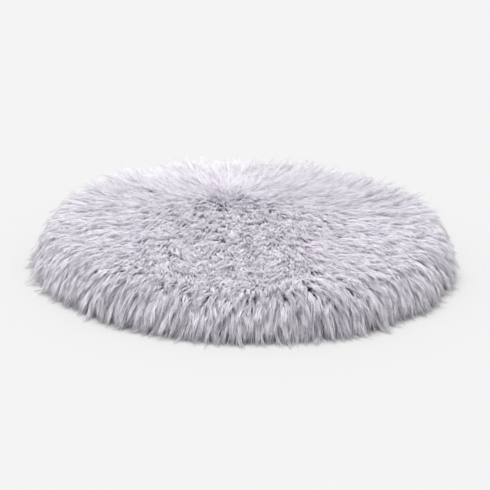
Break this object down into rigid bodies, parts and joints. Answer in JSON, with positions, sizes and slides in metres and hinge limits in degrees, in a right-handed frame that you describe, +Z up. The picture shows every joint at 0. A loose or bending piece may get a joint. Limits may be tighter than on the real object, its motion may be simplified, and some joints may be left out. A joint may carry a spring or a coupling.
{
  "type": "round pet cushion bed",
  "caption": "Round flat pet cushion bed with a long-pile fur cover that hangs to the floor, a zipped base and a fibre-filled liner.",
  "frame": {"origin": "centre of the underside, on the floor that the bed lies on", "axes": "+Z up through the thickness, +Y to the rear edge that the zip lies nearer to, +X along the zip towards its closed end"},
  "size_m": [0.6, 0.6, 0.075],
  "materials": {
    "fur_pile": "satin",
    "knit_backing": "matte",
    "base_cloth": "matte",
    "thread": "satin",
    "label_satin": "satin",
    "zip_tape": "matte",
    "zip_nylon": "satin",
    "zip_metal": "satin",
    "liner_cloth": "matte",
    "fibre": "matte"
  },
  "bodies": {
    "cushion": {"top_fur_pile": "fur_pile", "top_fur_backing": "knit_backing", "base_panel_front": "base_cloth", "base_panel_rear": "base_cloth", "cover_seam_thread": "thread", "care_label": "label_satin", "zip_tape_front": "zip_tape", "zip_tape_rear": "zip_tape", "zip_coil_front": "zip_nylon", "zip_coil_rear": "zip_nylon", "zip_top_stops": "zip_metal", "zip_bottom_stop": "zip_metal", "zip_topstitching": "thread", "liner_top_panel": "liner_cloth", "liner_bottom_panel": "liner_cloth", "liner_seam_thread": "thread", "fibre_fill": "fibre"},
    "zip_slider": {"zip_slider_body": "zip_metal"},
    "pull_tab": {"zip_pull_tab": "zip_metal"}
  },
  "joints": [
    {"name": "zip_travel", "type": "slide", "parent": "cushion", "child": "zip_slider", "axis": [-1, 0, 0], "range_m": [0, 0.358], "deforming": ["zip_coil_front", "zip_coil_rear"]},
    {"name": "pull_tab_hinge", "type": "hinge", "parent": "zip_slider", "child": "pull_tab", "pos_m": [0.178, 0.06, 0.00485], "axis": [0, -1, 0], "range_deg": [0, 180]}
  ]
}
